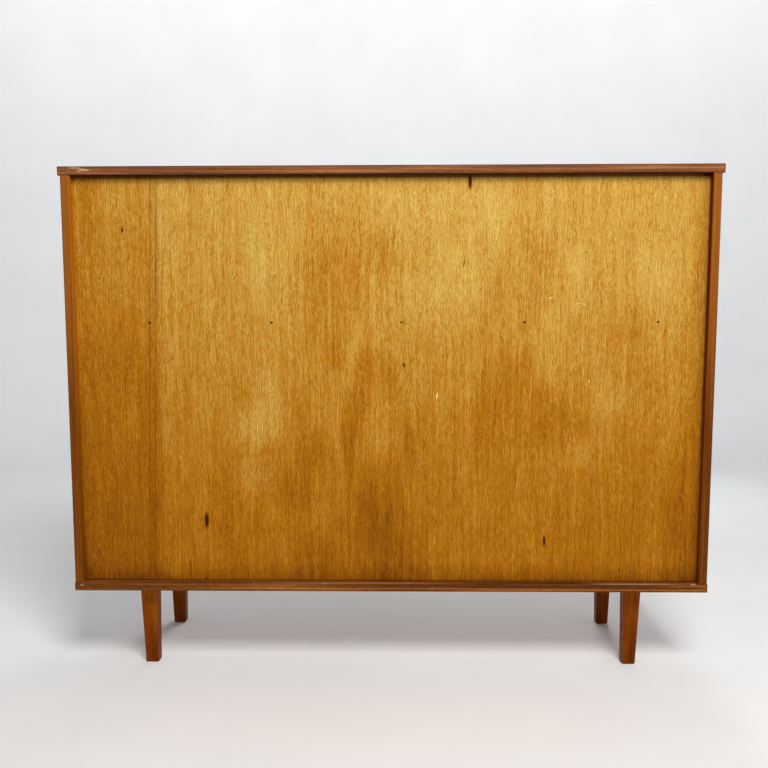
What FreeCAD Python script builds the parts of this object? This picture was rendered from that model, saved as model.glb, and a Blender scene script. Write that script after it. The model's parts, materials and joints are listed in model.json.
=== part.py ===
import FreeCAD, Part
import math
import operator
import os
from types import SimpleNamespace

import Sketcher

# A free-standing drinks display cabinet in teak veneer, in millimetres.
# The front faces -Y, +Z is up, and the origin is on the floor under the middle of the whole box.
# Above the middle shelf are a drinks bay behind a fall flap and a display bay behind two sliding
# glass doors. Below it are a bottle cupboard with one door and a double cupboard with two.

SIZES = {
    # Carcass: the top and base boards lie over and under the ends of the sides.
    "carcass_width": "1210",
    "carcass_depth": "344",
    "top_overhang": "5",
    "base_overhang": "1.5",
    "top_thick": "16",
    "base_thick": "16",
    "side_thick": "16",
    "shelf_thick": "16",
    "partition_thick": "16",
    "edge_round": "0.8",
    # Bays: clear heights under and over the middle shelf and clear width of the drinks bay.
    "lower_opening": "490",
    "upper_opening": "262",
    "drinks_bay_width": "384",
    # Housings, the grooves that one board stands in, and the play left in them.
    "shelf_housing": "5",
    "partition_housing": "4",
    "back_housing": "6",
    "housing_fit": "0.1",
    # Back panel, set in from the rear edges and pinned by eye to the middle shelf: two pins are
    # measured from each side and one from the middle.
    "back_thick": "4",
    "back_recess": "15",
    "pin_radius": "0.8",
    "pin_head_radius": "1.7",
    "pin_head_thick": "0.6",
    "pin_length": "25",
    "pin_right_outer": "138",
    "pin_right_inner": "368",
    "pin_middle": "-23",
    "pin_left_inner": "336",
    "pin_left_outer": "88",
    # Dowels between the sides and the top and base boards.
    "dowel_radius": "4",
    "dowel_fit": "0.05",
    "dowel_in_board": "11",
    "dowel_in_side": "20",
    "dowel_inset": "40",
    "dowel_count": "4",
    # Legs: square, tapered more on their outer faces, each on a bolt in a threaded bush.
    "leg_length": "160",
    "leg_head": "33",
    "leg_foot": "25",
    "leg_outer_taper": "6",
    "leg_side_inset": "114",
    "leg_depth_inset": "38",
    "leg_edge_round": "2",
    "foot_ease": "1.5",
    "bolt_radius": "4",
    "bolt_in_leg": "42",
    "bush_radius": "6",
    "bush_length": "12",
    "bolt_fit": "0.05",
    # Sliding glass doors and their grooved tracks.
    "glass_thick": "5",
    "glass_play": "0.5",
    "glass_overlap": "34",
    "glass_end_gap": "1",
    "glass_lift_gap": "0.2",
    "glass_engage": "4",
    "glass_bevel": "0.6",
    "track_rib": "2.5",
    "track_web": "3",
    "track_setback": "3",
    "lower_groove": "5",
    "upper_groove": "10",
    "track_end_gap": "0.2",
    "grip_inset": "42",
    "grip_radius": "9",
    "grip_length": "72",
    "grip_depth": "1.6",
    # Fall flap: round-nosed lower edge, turning on two pivot pins in bushes.
    "flap_thick": "16",
    "flap_gap": "1.5",
    "lining_thick": "1.2",
    "lining_margin": "6",
    "pivot_radius": "3",
    "pivot_in_flap": "22",
    "pivot_in_bush": "9",
    "pivot_bush_radius": "4.5",
    "pivot_bush_length": "11",
    "pivot_fit": "0.05",
    # Slotted stay: the arm turns on a rivet on the flap and slides on a stud on the left side.
    "stay_reach": "130",
    "stay_stand": "9",
    "stud_angle": "42",
    "flap_opening": "90",
    "stay_width": "12",
    "stay_thick": "2",
    "stay_side_gap": "4.3",
    "stay_play": "0.3",
    "slot_play": "0.3",
    "stud_radius": "2.5",
    "stud_flange_radius": "7",
    "stud_head_radius": "5.5",
    "stud_head_thick": "2",
    "stud_in_side": "10",
    "rivet_radius": "2.5",
    "rivet_head_radius": "4.5",
    "rivet_head_thick": "1.2",
    "rivet_fit": "0.05",
    "bracket_thick": "2",
    "bracket_height": "28",
    "bracket_foot": "22",
    "bracket_round": "4",
    # Hinged doors below the shelf, inset and flush with the front edges.
    "door_thick": "16",
    "door_gap": "2",
    "hinge_length": "50",
    "hinge_inset": "60",
    "leaf_thick": "1.5",
    "leaf_width": "13",
    "hinge_pin_radius": "1.2",
    "hinge_pin_tip": "0.8",
    "hinge_pin_fit": "0.05",
    "knuckle_gap": "0.3",
    "barrel_stand": "0.3",
    "mortise_fit": "0.1",
    # Turned knobs with a spigot glued into the door or flap.
    "knob_projection": "16",
    "knob_radius": "12",
    "knob_rim": "5",
    "knob_waist_radius": "6.5",
    "knob_foot_radius": "8.5",
    "knob_foot": "2.5",
    "knob_waist": "4",
    "knob_rim_round": "1.6",
    "spigot_radius": "4",
    "spigot_length": "11",
    "spigot_fit": "0.05",
    "knob_inset": "38",
    "knob_drop": "120",
    "flap_knob_drop": "32",
    # Magnetic catches and the strike plates that meet them.
    "catch_length": "38",
    "catch_depth": "13",
    "catch_height": "12",
    "catch_round": "1.5",
    "catch_inset": "50",
    "catch_gap": "0.3",
    "strike_length": "30",
    "strike_height": "10",
    "strike_thick": "1",
    # Loose shelf in the double cupboard, on four pegs.
    "loose_shelf_thick": "12",
    "loose_shelf_setback": "74",
    "loose_shelf_gap": "1",
    "peg_radius": "3",
    "peg_fit": "0.05",
    "peg_in_board": "9",
    "peg_length": "24",
    "peg_front_inset": "105",
    "peg_back_inset": "50",
    "peg_lowest": "185",
    "peg_pitch": "32",
    "peg_holes": "5",
    "peg_row": "2",
}

START_POINT = 1
CENTRE_POINT = 3
LEFT_HAND = 1
RIGHT_HAND = -1
SQUARE_SIDES = ((0, -1), (1, 0), (0, 1), (-1, 0))
OPERATIONS = {"+": operator.add, "-": operator.sub, "*": operator.mul, "/": operator.truediv}


class Size:
    """A length or an angle: its value now, and the formula that ties it to the sheet."""

    def __init__(self, formula, value):
        self.formula = formula
        self.value = value

    def __add__(self, other):
        return worked_out(self, "+", other)

    def __radd__(self, other):
        return worked_out(other, "+", self)

    def __sub__(self, other):
        return worked_out(self, "-", other)

    def __rsub__(self, other):
        return worked_out(other, "-", self)

    def __mul__(self, other):
        return worked_out(self, "*", other)

    def __rmul__(self, other):
        return worked_out(other, "*", self)

    def __truediv__(self, other):
        return worked_out(self, "/", other)

    def __neg__(self):
        return worked_out(0, "-", self)


def as_size(number):
    if isinstance(number, Size):
        return number
    return Size(str(number), number)


def worked_out(left, sign, right):
    left = as_size(left)
    right = as_size(right)
    value = OPERATIONS[sign](left.value, right.value)
    return Size(f"({left.formula} {sign} {right.formula})", value)


def sine(degrees):
    return Size(f"sin({degrees.formula} * 1 deg)", math.sin(math.radians(degrees.value)))


def cosine(degrees):
    return Size(f"cos({degrees.formula} * 1 deg)", math.cos(math.radians(degrees.value)))


def angle_of_sine(ratio):
    return Size(f"(asin({ratio.formula}) / 1 deg)", math.degrees(math.asin(ratio.value)))


def bind(thing, path, length):
    thing.setExpression(path, as_size(length).formula)


doc = FreeCAD.newDocument("drinks_display_cabinet")
sheet = doc.addObject("Spreadsheet::Sheet", "sizes")
for row, (name, text) in enumerate(SIZES.items(), 1):
    sheet.set(f"A{row}", name)
    sheet.set(f"B{row}", text)
    sheet.setAlias(f"B{row}", name)
doc.recompute()
size = SimpleNamespace(**{name: Size(f"sizes.{name}", float(sheet.get(name))) for name in SIZES})

# Places that several pieces share.
inner_half = size.carcass_width / 2 - size.side_thick
partition_left = size.drinks_bay_width - inner_half
partition_right = partition_left + size.partition_thick
display_width = inner_half - partition_right

inner_depth = size.carcass_depth - size.back_recess - size.back_thick
front_y = (size.knob_projection - size.carcass_depth) / 2

side_height = size.lower_opening + size.shelf_thick + size.upper_opening
base_top = size.leg_length + size.base_thick
shelf_low = base_top + size.lower_opening
shelf_top = shelf_low + size.shelf_thick
top_low = base_top + side_height

back_half = inner_half + size.back_housing - size.housing_fit
groove_half = inner_half + size.back_housing
groove_front = inner_depth - size.housing_fit
groove_back = inner_depth + size.back_thick + size.housing_fit
housing_floor = size.partition_housing - size.housing_fit
pin_spots = (
    inner_half - size.pin_right_outer,
    inner_half - size.pin_right_inner,
    size.pin_middle,
    size.pin_left_inner - inner_half,
    size.pin_left_outer - inner_half,
)

dowel_line = inner_half + size.side_thick / 2
dowel_span = size.carcass_depth - 2 * size.dowel_inset
dowel_hole = size.dowel_radius + size.dowel_fit

leg_x = size.carcass_width / 2 - size.leg_side_inset - size.leg_head / 2
leg_front = size.leg_depth_inset + size.leg_head / 2
leg_back = size.carcass_depth - leg_front
foot_shift = size.leg_head / 2 - size.leg_outer_taper - size.leg_foot / 2

glass_groove = size.glass_thick + 2 * size.glass_play
track_depth = 3 * size.track_rib + 2 * glass_groove
lower_track_height = size.track_web + size.lower_groove
upper_track_height = size.track_web + size.upper_groove
pane_width = (display_width - 2 * size.glass_end_gap + size.glass_overlap) / 2
pane_low = size.track_web + size.glass_lift_gap
pane_height = size.upper_opening - upper_track_height + size.glass_engage - pane_low

# The flap turns about the middle of its round lower edge.
flap_width = size.drinks_bay_width - 2 * size.door_gap
flap_nose = size.flap_thick / 2
axis_rise = size.flap_gap + flap_nose
flap_rise = size.upper_opening - axis_rise - size.door_gap
bay_floor_thick = size.flap_gap + size.flap_thick
bay_floor_front = size.flap_thick + size.flap_gap
pivot_bush_hole = size.pivot_bush_length + size.pivot_fit

# The rivet and the stud are equally far from the flap's axis, so the arm turns at half the flap's rate.
rivet_back = flap_nose + size.lining_thick + size.stay_stand
rivet_angle = angle_of_sine(rivet_back / size.stay_reach)
rivet_up = size.stay_reach * cosine(rivet_angle)
stud_back = size.stay_reach * sine(size.stud_angle)
stud_up = size.stay_reach * cosine(size.stud_angle)
stud_closed = 2 * size.stay_reach * sine((size.stud_angle - rivet_angle) / 2)
stud_open = 2 * size.stay_reach * sine((size.stud_angle - rivet_angle + size.flap_opening) / 2)
stay_slope = (size.stud_angle + rivet_angle) / -2
stay_outer = size.stay_side_gap + size.stay_thick
bracket_side = stay_outer + size.stay_play

door_height = size.lower_opening - 2 * size.door_gap
bottle_door_width = size.drinks_bay_width - 2 * size.door_gap
pair_door_width = (display_width - 3 * size.door_gap) / 2
barrel_radius = size.door_gap / 2 + size.leaf_thick
barrel_front = barrel_radius + size.barrel_stand
hinge_span = door_height - 2 * size.hinge_inset - size.hinge_length
hinge_start = size.door_gap + size.hinge_inset
knuckle = (size.hinge_length - 2 * size.knuckle_gap) / 3
catch_front = size.strike_thick + size.catch_gap
strike_drop = (size.catch_height - size.strike_height) / 2

peg_back = inner_depth - size.peg_back_inset
peg_top = size.peg_lowest + size.peg_row * size.peg_pitch + size.peg_radius
peg_hole = size.peg_radius + size.peg_fit

nodes = []


def new_piece(label, x, y, z):
    body = doc.addObject("PartDesign::Body", label)
    body.Label = label
    bind(body, "Placement.Base.x", x)
    bind(body, "Placement.Base.y", y)
    bind(body, "Placement.Base.z", z)
    nodes.append(body)
    return body


def origin_feature(body, role):
    return next(feature for feature in body.Origin.OriginFeatures if feature.Role == role)


def new_sketch(body, plane, offset):
    sketch = body.newObject("Sketcher::SketchObject", body.Label + "_sketch")
    sketch.AttachmentSupport = (origin_feature(body, plane), [""])
    sketch.MapMode = "FlatFace"
    bind(sketch, "AttachmentOffset.Base.z", offset)
    return sketch


def hold(sketch, kind, places, length):
    length = as_size(length)
    number = sketch.addConstraint(Sketcher.Constraint(kind, *places, length.value))
    sketch.setExpression(f"Constraints[{number}]", length.formula)


def hold_point(sketch, element, point, x, y):
    hold(sketch, "DistanceX", (-1, 1, element, point), x)
    hold(sketch, "DistanceY", (-1, 1, element, point), y)


def outline(body, plane, corners, offset=0):
    """A closed outline. A corner with a centre after it starts an arc about that centre."""
    sketch = new_sketch(body, plane, offset)
    corners = [[as_size(number) for number in corner] for corner in corners]
    spots = [FreeCAD.Vector(corner[0].value, corner[1].value, 0) for corner in corners]
    following = spots[1:] + spots[:1]
    for corner, spot, after in zip(corners, spots, following):
        if len(corner) == 2:
            sketch.addGeometry(Part.LineSegment(spot, after))
            continue
        centre = FreeCAD.Vector(corner[2].value, corner[3].value, 0)
        circle = Part.Circle(centre, FreeCAD.Vector(0, 0, 1), spot.distanceToPoint(centre))
        sketch.addGeometry(Part.ArcOfCircle(circle, circle.parameter(spot), circle.parameter(after)))
    for element in range(len(corners)):
        join = Sketcher.Constraint("Coincident", element, 2, (element + 1) % len(corners), START_POINT)
        sketch.addConstraint(join)
    for element, corner in enumerate(corners):
        hold_point(sketch, element, START_POINT, corner[0], corner[1])
        if len(corner) == 2:
            continue
        chord = following[element] - spots[element]
        if abs(chord.y) > abs(chord.x):
            hold(sketch, "DistanceX", (-1, 1, element, CENTRE_POINT), corner[2])
        else:
            hold(sketch, "DistanceY", (-1, 1, element, CENTRE_POINT), corner[3])
    return sketch


def rectangle(body, plane, low, high, offset=0):
    corners = (low, (high[0], low[1]), high, (low[0], high[1]))
    return outline(body, plane, corners, offset)


def rounded_square(body, centre, half, radius, offset):
    """A level square with round corners, drawn from its near side anticlockwise."""
    reach = half - radius
    corners = []
    for start, end in zip(SQUARE_SIDES, SQUARE_SIDES[1:] + SQUARE_SIDES[:1]):
        x = centre[0] + (start[0] + end[0]) * reach
        y = centre[1] + (start[1] + end[1]) * reach
        corners.append((x + start[0] * radius, y + start[1] * radius, x, y))
        corners.append((x + end[0] * radius, y + end[1] * radius))
    return outline(body, "XY_Plane", corners, offset)


def slot_corners(start, end, radius):
    """A slot along the sketch's first axis, from one end centre to the other."""
    return (
        (start, -radius),
        (end, -radius, end, 0),
        (end, radius),
        (start, radius, start, 0),
    )


def circles(body, plane, centres, radius, offset=0):
    sketch = new_sketch(body, plane, offset)
    for element, centre in enumerate(centres):
        x, y = (as_size(number) for number in centre)
        spot = FreeCAD.Vector(x.value, y.value, 0)
        sketch.addGeometry(Part.Circle(spot, FreeCAD.Vector(0, 0, 1), as_size(radius).value))
        hold_point(sketch, element, CENTRE_POINT, x, y)
        hold(sketch, "Radius", (element,), radius)
    return sketch


def pad(body, sketch, length, backward=False):
    feature = body.newObject("PartDesign::Pad", body.Label + "_pad")
    feature.Profile = sketch
    feature.Reversed = backward
    bind(feature, "Length", length)
    return feature


def pocket(body, sketch, depth, backward=False):
    feature = body.newObject("PartDesign::Pocket", body.Label + "_pocket")
    feature.Profile = sketch
    feature.Reversed = backward
    bind(feature, "Length", depth)
    return feature


def repeat(body, features, axis, span, count):
    pattern = body.newObject("PartDesign::LinearPattern", body.Label + "_row")
    pattern.Originals = features
    pattern.Direction = (origin_feature(body, axis), [""])
    bind(pattern, "Length", span)
    bind(pattern, "Occurrences", count)
    body.Tip = pattern
    return pattern


def chosen_edges(body, wanted):
    doc.recompute()
    edges = enumerate(body.Tip.Shape.Edges, 1)
    return [f"Edge{number}" for number, edge in edges if wanted(edge)]


def round_edges(body, wanted, radius):
    names = chosen_edges(body, wanted)
    base = body.Tip
    feature = body.newObject("PartDesign::Fillet", body.Label + "_round")
    feature.Base = (base, names)
    bind(feature, "Radius", radius)


def bevel_edges(body, wanted, width):
    names = chosen_edges(body, wanted)
    base = body.Tip
    feature = body.newObject("PartDesign::Chamfer", body.Label + "_bevel")
    feature.Base = (base, names)
    bind(feature, "Size", width)


def every_edge(edge):
    return True


def upright(edge):
    """Edges that rise more than they run."""
    box = edge.BoundBox
    return box.ZLength > box.XLength and box.ZLength > box.YLength


def board_on_edge(label, x, z, depth, height, thick, leftward=False):
    """A side or a partition: its depth and height in profile, thickened to one side."""
    body = new_piece(label, x, front_y, z)
    profile = rectangle(body, "YZ_Plane", (0, 0), (depth, height))
    pad(body, profile, thick, leftward)
    round_edges(body, upright, size.edge_round)
    return body


def dowel_holes(body, offset, backward):
    spots = ((-dowel_line, size.dowel_inset), (dowel_line, size.dowel_inset))
    first = circles(body, "XY_Plane", spots, dowel_hole, offset)
    holes = pocket(body, first, size.dowel_in_board, backward)
    repeat(body, [holes], "Y_Axis", dowel_span, size.dowel_count)


def board_housings(body, upward):
    """The back panel's groove and the partition's housing in the inner face of the top or base."""
    groove = rectangle(body, "XY_Plane", (-groove_half, groove_front), (groove_half, groove_back))
    pocket(body, groove, size.back_housing, backward=upward)
    low = (partition_left - size.housing_fit, 0)
    high = (partition_right + size.housing_fit, inner_depth)
    housing = rectangle(body, "XY_Plane", low, high)
    pocket(body, housing, size.partition_housing, backward=upward)


def top_board():
    body = new_piece("top_board", 0, front_y, top_low)
    half = size.carcass_width / 2 + size.top_overhang
    pad(body, rectangle(body, "XY_Plane", (-half, 0), (half, size.carcass_depth)), size.top_thick)
    round_edges(body, every_edge, size.edge_round)
    board_housings(body, upward=True)
    dowel_holes(body, 0, backward=True)


def base_board():
    body = new_piece("base_board", 0, front_y, base_top)
    half = size.carcass_width / 2 + size.base_overhang
    plan = rectangle(body, "XY_Plane", (-half, 0), (half, size.carcass_depth))
    pad(body, plan, size.base_thick, backward=True)
    round_edges(body, every_edge, size.edge_round)
    board_housings(body, upward=False)
    dowel_holes(body, 0, backward=False)
    hole = size.bush_radius + size.bolt_fit
    bush_holes = circles(body, "XY_Plane", leg_spots(), hole, -size.base_thick)
    pocket(body, bush_holes, size.bush_length + size.bolt_fit, backward=True)


def leg_spots():
    return [(x, y) for y in (leg_front, leg_back) for x in (-leg_x, leg_x)]


def hinge_mortises(body, face, first, into_face):
    """Two recesses for hinge leaves, open at the front, in the face of a side, partition or door."""
    low = (0, first - size.mortise_fit)
    high = (size.leaf_width + size.mortise_fit, first + size.hinge_length + size.mortise_fit)
    recess = pocket(body, rectangle(body, "YZ_Plane", low, high, face), size.leaf_thick, into_face)
    repeat(body, [recess], "Z_Axis", hinge_span, 2)


def peg_hole_rows(body, face, floor, into_face):
    low = floor + size.peg_lowest
    spots = ((size.peg_front_inset, low), (peg_back, low))
    holes = pocket(body, circles(body, "YZ_Plane", spots, peg_hole, face), size.peg_in_board, into_face)
    repeat(body, [holes], "Z_Axis", size.peg_pitch * (size.peg_holes - 1), size.peg_holes)


def side_board(label, hand):
    """One side, from its inner face outwards, with its grooves and dowel holes."""
    outward = hand == RIGHT_HAND
    x = -hand * inner_half
    body = board_on_edge(
        label, x, base_top, size.carcass_depth, side_height, size.side_thick, hand == LEFT_HAND
    )
    groove = rectangle(body, "YZ_Plane", (groove_front, 0), (groove_back, side_height))
    pocket(body, groove, size.back_housing, outward)
    housing_low = (0, size.lower_opening - size.housing_fit)
    housing_high = (inner_depth, size.lower_opening + size.shelf_thick + size.housing_fit)
    pocket(body, rectangle(body, "YZ_Plane", housing_low, housing_high), size.shelf_housing, outward)
    spot = ((-hand * size.side_thick / 2, size.dowel_inset),)
    low_hole = pocket(body, circles(body, "XY_Plane", spot, dowel_hole), size.dowel_in_side, True)
    repeat(body, [low_hole], "Y_Axis", dowel_span, size.dowel_count)
    high_hole = pocket(body, circles(body, "XY_Plane", spot, dowel_hole, side_height), size.dowel_in_side)
    repeat(body, [high_hole], "Y_Axis", dowel_span, size.dowel_count)
    hinge_mortises(body, 0, hinge_start, outward)
    return body


def left_side():
    body = side_board("left_side", LEFT_HAND)
    axis_height = size.lower_opening + size.shelf_thick + axis_rise
    bush = circles(body, "YZ_Plane", ((flap_nose, axis_height),), size.pivot_bush_radius)
    pocket(body, bush, pivot_bush_hole)
    stud_spot = ((flap_nose + stud_back, axis_height + stud_up),)
    pocket(body, circles(body, "YZ_Plane", stud_spot, size.stud_radius), size.stud_in_side)


def right_side():
    body = side_board("right_side", RIGHT_HAND)
    peg_hole_rows(body, 0, 0, True)


def middle_shelf():
    body = new_piece("middle_shelf", 0, front_y, shelf_low)
    half = inner_half + size.shelf_housing - size.housing_fit
    pad(body, rectangle(body, "XY_Plane", (-half, 0), (half, inner_depth)), size.shelf_thick)
    low = (partition_left - size.housing_fit, 0)
    high = (partition_right + size.housing_fit, inner_depth)
    pocket(body, rectangle(body, "XY_Plane", low, high), size.partition_housing, True)
    upper = rectangle(body, "XY_Plane", low, high, size.shelf_thick)
    pocket(body, upper, size.partition_housing)
    spots = [(spot, size.shelf_thick / 2) for spot in pin_spots]
    pin_holes = circles(body, "XZ_Plane", spots, size.pin_radius, -inner_depth)
    pocket(body, pin_holes, size.pin_length - size.back_thick, True)


def upper_partition():
    height = size.upper_opening + 2 * housing_floor
    low = shelf_top - housing_floor
    body = board_on_edge(
        "upper_partition", partition_left, low, inner_depth, height, size.partition_thick
    )
    bush_spot = ((flap_nose, axis_rise + housing_floor),)
    bush = circles(body, "YZ_Plane", bush_spot, size.pivot_bush_radius)
    pocket(body, bush, pivot_bush_hole, True)


def lower_partition():
    height = size.lower_opening + 2 * housing_floor
    low = base_top - housing_floor
    body = board_on_edge(
        "lower_partition", partition_left, low, inner_depth, height, size.partition_thick
    )
    hinge_mortises(body, size.partition_thick, hinge_start + housing_floor, False)
    peg_hole_rows(body, size.partition_thick, housing_floor, False)


def back_panel():
    low = size.back_housing - size.housing_fit
    body = new_piece("back_panel", 0, front_y + inner_depth, base_top - low)
    sheet_face = rectangle(body, "XZ_Plane", (-back_half, 0), (back_half, side_height + 2 * low))
    pad(body, sheet_face, size.back_thick, backward=True)
    spots = [(spot, size.lower_opening + size.shelf_thick / 2 + low) for spot in pin_spots]
    pocket(body, circles(body, "XZ_Plane", spots, size.pin_radius), size.back_thick)


def back_panel_pins():
    body = new_piece("back_panel_pins", 0, front_y + inner_depth + size.back_thick, shelf_low)
    spots = [(spot, size.shelf_thick / 2) for spot in pin_spots]
    pad(body, circles(body, "XZ_Plane", spots, size.pin_radius), size.pin_length)
    pad(body, circles(body, "XZ_Plane", spots, size.pin_head_radius), size.pin_head_thick, True)


def carcass_dowels():
    body = new_piece("carcass_dowels", 0, front_y, base_top)
    spots = ((-dowel_line, size.dowel_inset), (dowel_line, size.dowel_inset))
    length = size.dowel_in_board + size.dowel_in_side
    lower = circles(body, "XY_Plane", spots, size.dowel_radius, -size.dowel_in_board)
    upper = circles(body, "XY_Plane", spots, size.dowel_radius, side_height - size.dowel_in_side)
    rods = [pad(body, lower, length), pad(body, upper, length)]
    repeat(body, rods, "Y_Axis", dowel_span, size.dowel_count)


def leg(label, across, along, y):
    """A tapered leg about its bolt, with the foot drawn in from the outer faces and eased below."""
    body = new_piece(label, across * leg_x, front_y + y, 0)
    foot = (across * foot_shift, along * foot_shift)
    half_foot = size.leg_foot / 2
    rounding = size.leg_edge_round
    ease = size.foot_ease
    shaft = body.newObject("PartDesign::AdditiveLoft", label + "_shaft")
    shaft.Profile = rounded_square(body, foot, half_foot - ease, rounding, 0)
    shaft.Sections = [
        rounded_square(body, foot, half_foot, rounding, ease),
        rounded_square(body, (0, 0), size.leg_head / 2, rounding, size.leg_length),
    ]
    shaft.Ruled = True
    body.Tip = shaft
    hole = circles(body, "XY_Plane", ((0, 0),), size.bolt_radius + size.bolt_fit, size.leg_length)
    pocket(body, hole, size.bolt_in_leg + size.bolt_fit)


def legs():
    for depth_name, along, y in (("front", -1, leg_front), ("back", 1, leg_back)):
        for side_name, across in (("left", -1), ("right", 1)):
            leg(f"{depth_name}_{side_name}_leg", across, along, y)


def leg_bolts():
    body = new_piece("leg_bolts", 0, front_y, size.leg_length)
    rods = circles(body, "XY_Plane", leg_spots(), size.bolt_radius, -size.bolt_in_leg)
    pad(body, rods, size.bolt_in_leg + size.bush_length)


def leg_bushes():
    body = new_piece("leg_bushes", 0, front_y, size.leg_length)
    pad(body, circles(body, "XY_Plane", leg_spots(), size.bush_radius), size.bush_length)
    bore = circles(body, "XY_Plane", leg_spots(), size.bolt_radius + size.bolt_fit)
    pocket(body, bore, size.bush_length, True)


def glass_track(label, z, web_low, web_high, groove_low, groove_high):
    """A strip with two grooves side by side, for the front pane and the rear pane."""
    body = new_piece(label, partition_right + size.track_end_gap, front_y + size.track_setback, z)
    length = display_width - 2 * size.track_end_gap
    pad(body, rectangle(body, "YZ_Plane", (0, web_low), (track_depth, web_high)), length)
    for start in (size.track_rib, 2 * size.track_rib + glass_groove):
        groove = rectangle(body, "YZ_Plane", (start, groove_low), (start + glass_groove, groove_high))
        pocket(body, groove, length, True)


def glass_tracks():
    height = lower_track_height
    glass_track("lower_glass_track", shelf_top, 0, height, size.track_web, height)
    height = upper_track_height
    glass_track("upper_glass_track", top_low, -height, 0, -height, -size.track_web)


def glass_door(label, hand, groove_number):
    """A pane with ground edges and an oval finger grip near its outer end."""
    outer = partition_right if hand == LEFT_HAND else inner_half
    y = size.track_setback + size.track_rib + size.glass_play
    y = y + groove_number * (glass_groove + size.track_rib)
    body = new_piece(label, outer + hand * size.glass_end_gap, front_y + y, shelf_top + pane_low)
    face = rectangle(body, "XZ_Plane", (0, 0), (hand * pane_width, pane_height))
    pad(body, face, size.glass_thick, True)
    bevel_edges(body, every_edge, size.glass_bevel)
    x = hand * size.grip_inset
    reach = size.grip_length / 2 - size.grip_radius
    low = pane_height / 2 - reach
    high = pane_height / 2 + reach
    grip = (
        (x - size.grip_radius, low, x, low),
        (x + size.grip_radius, low),
        (x + size.grip_radius, high, x, high),
        (x - size.grip_radius, high),
    )
    pocket(body, outline(body, "XZ_Plane", grip), size.grip_depth)


def flap_panel():
    """The flap about its axis: straight sides above and a half-round nose below."""
    body = new_piece("flap_panel", size.door_gap - inner_half, front_y + flap_nose, shelf_top + axis_rise)
    profile = (
        (-flap_nose, 0, 0, 0),
        (flap_nose, 0),
        (flap_nose, flap_rise),
        (-flap_nose, flap_rise),
    )
    pad(body, outline(body, "YZ_Plane", profile), flap_width)
    hole = size.pivot_radius + size.pivot_fit
    pocket(body, circles(body, "YZ_Plane", ((0, 0),), hole), size.pivot_in_flap, True)
    pocket(body, circles(body, "YZ_Plane", ((0, 0),), hole, flap_width), size.pivot_in_flap)
    spigot_spot = ((flap_width / 2, flap_rise - size.flap_knob_drop),)
    spigot = circles(body, "XZ_Plane", spigot_spot, size.spigot_radius + size.spigot_fit, flap_nose)
    pocket(body, spigot, size.spigot_length)


def flap_lining():
    x = size.door_gap + size.lining_margin - inner_half
    y = front_y + size.flap_thick
    body = new_piece("flap_lining", x, y, shelf_top + axis_rise)
    low = (0, size.lining_margin)
    high = (flap_width - 2 * size.lining_margin, flap_rise - size.lining_margin)
    pad(body, rectangle(body, "XZ_Plane", low, high), size.lining_thick, True)


def flap_pivots():
    y = front_y + flap_nose
    z = shelf_top + axis_rise
    pins = new_piece("flap_pivot_pins", -inner_half, y, z)
    length = size.pivot_in_flap + size.door_gap + size.pivot_in_bush
    left_end = circles(pins, "YZ_Plane", ((0, 0),), size.pivot_radius, -size.pivot_in_bush)
    pad(pins, left_end, length)
    right_start = size.drinks_bay_width + size.pivot_in_bush
    right_end = circles(pins, "YZ_Plane", ((0, 0),), size.pivot_radius, right_start)
    pad(pins, right_end, length, True)
    bushes = new_piece("flap_pivot_bushes", -inner_half, y, z)
    for face, inward in ((0, True), (size.drinks_bay_width, False)):
        ring = circles(bushes, "YZ_Plane", ((0, 0),), size.pivot_bush_radius, face)
        pad(bushes, ring, size.pivot_bush_length, inward)
        bore = circles(bushes, "YZ_Plane", ((0, 0),), size.pivot_radius + size.pivot_fit, face)
        pocket(bushes, bore, size.pivot_bush_length, not inward)


def bay_floor():
    """A floor in the drinks bay, level with the flap's lining when the flap is down."""
    width = size.drinks_bay_width - 2 * size.housing_fit
    x = size.housing_fit - inner_half
    body = new_piece("bay_floor", x, front_y, shelf_top)
    plan = rectangle(body, "XY_Plane", (0, bay_floor_front), (width, inner_depth))
    pad(body, plan, bay_floor_thick)
    lining = new_piece("bay_floor_lining", x, front_y, shelf_top + bay_floor_thick)
    plan = rectangle(lining, "XY_Plane", (0, bay_floor_front), (width, inner_depth))
    pad(lining, plan, size.lining_thick)


def stay_bracket():
    """An angle bracket on the flap: its foot on the lining, its ear beside the arm."""
    y = front_y + size.flap_thick + size.lining_thick
    z = shelf_top + axis_rise + rivet_up
    body = new_piece("stay_bracket", bracket_side - inner_half, y, z)
    ear = size.stay_stand + size.stay_width / 2
    section = (
        (0, 0),
        (size.bracket_foot, 0),
        (size.bracket_foot, size.bracket_thick),
        (size.bracket_thick, size.bracket_thick),
        (size.bracket_thick, ear),
        (0, ear),
    )
    half = size.bracket_height / 2
    pad(body, outline(body, "XY_Plane", section, -half), size.bracket_height)
    tip = ear.value - size.bracket_thick.value / 2
    round_edges(body, lambda edge: edge.BoundBox.YMin > tip and not upright(edge), size.bracket_round)
    bore = circles(body, "YZ_Plane", ((size.stay_stand, 0),), size.rivet_radius)
    pocket(body, bore, size.bracket_thick, True)


def stay_rivet():
    y = front_y + flap_nose + rivet_back
    z = shelf_top + axis_rise + rivet_up
    body = new_piece("stay_rivet", -inner_half, y, z)
    inner_head = size.stay_side_gap - size.stay_play
    outer_head = bracket_side + size.bracket_thick
    centre = ((0, 0),)
    shank = circles(body, "YZ_Plane", centre, size.rivet_radius, inner_head)
    pad(body, shank, outer_head - inner_head)
    for start, outward in ((inner_head, True), (outer_head, False)):
        head = circles(body, "YZ_Plane", centre, size.rivet_head_radius, start)
        pad(body, head, size.rivet_head_thick, outward)


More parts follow.
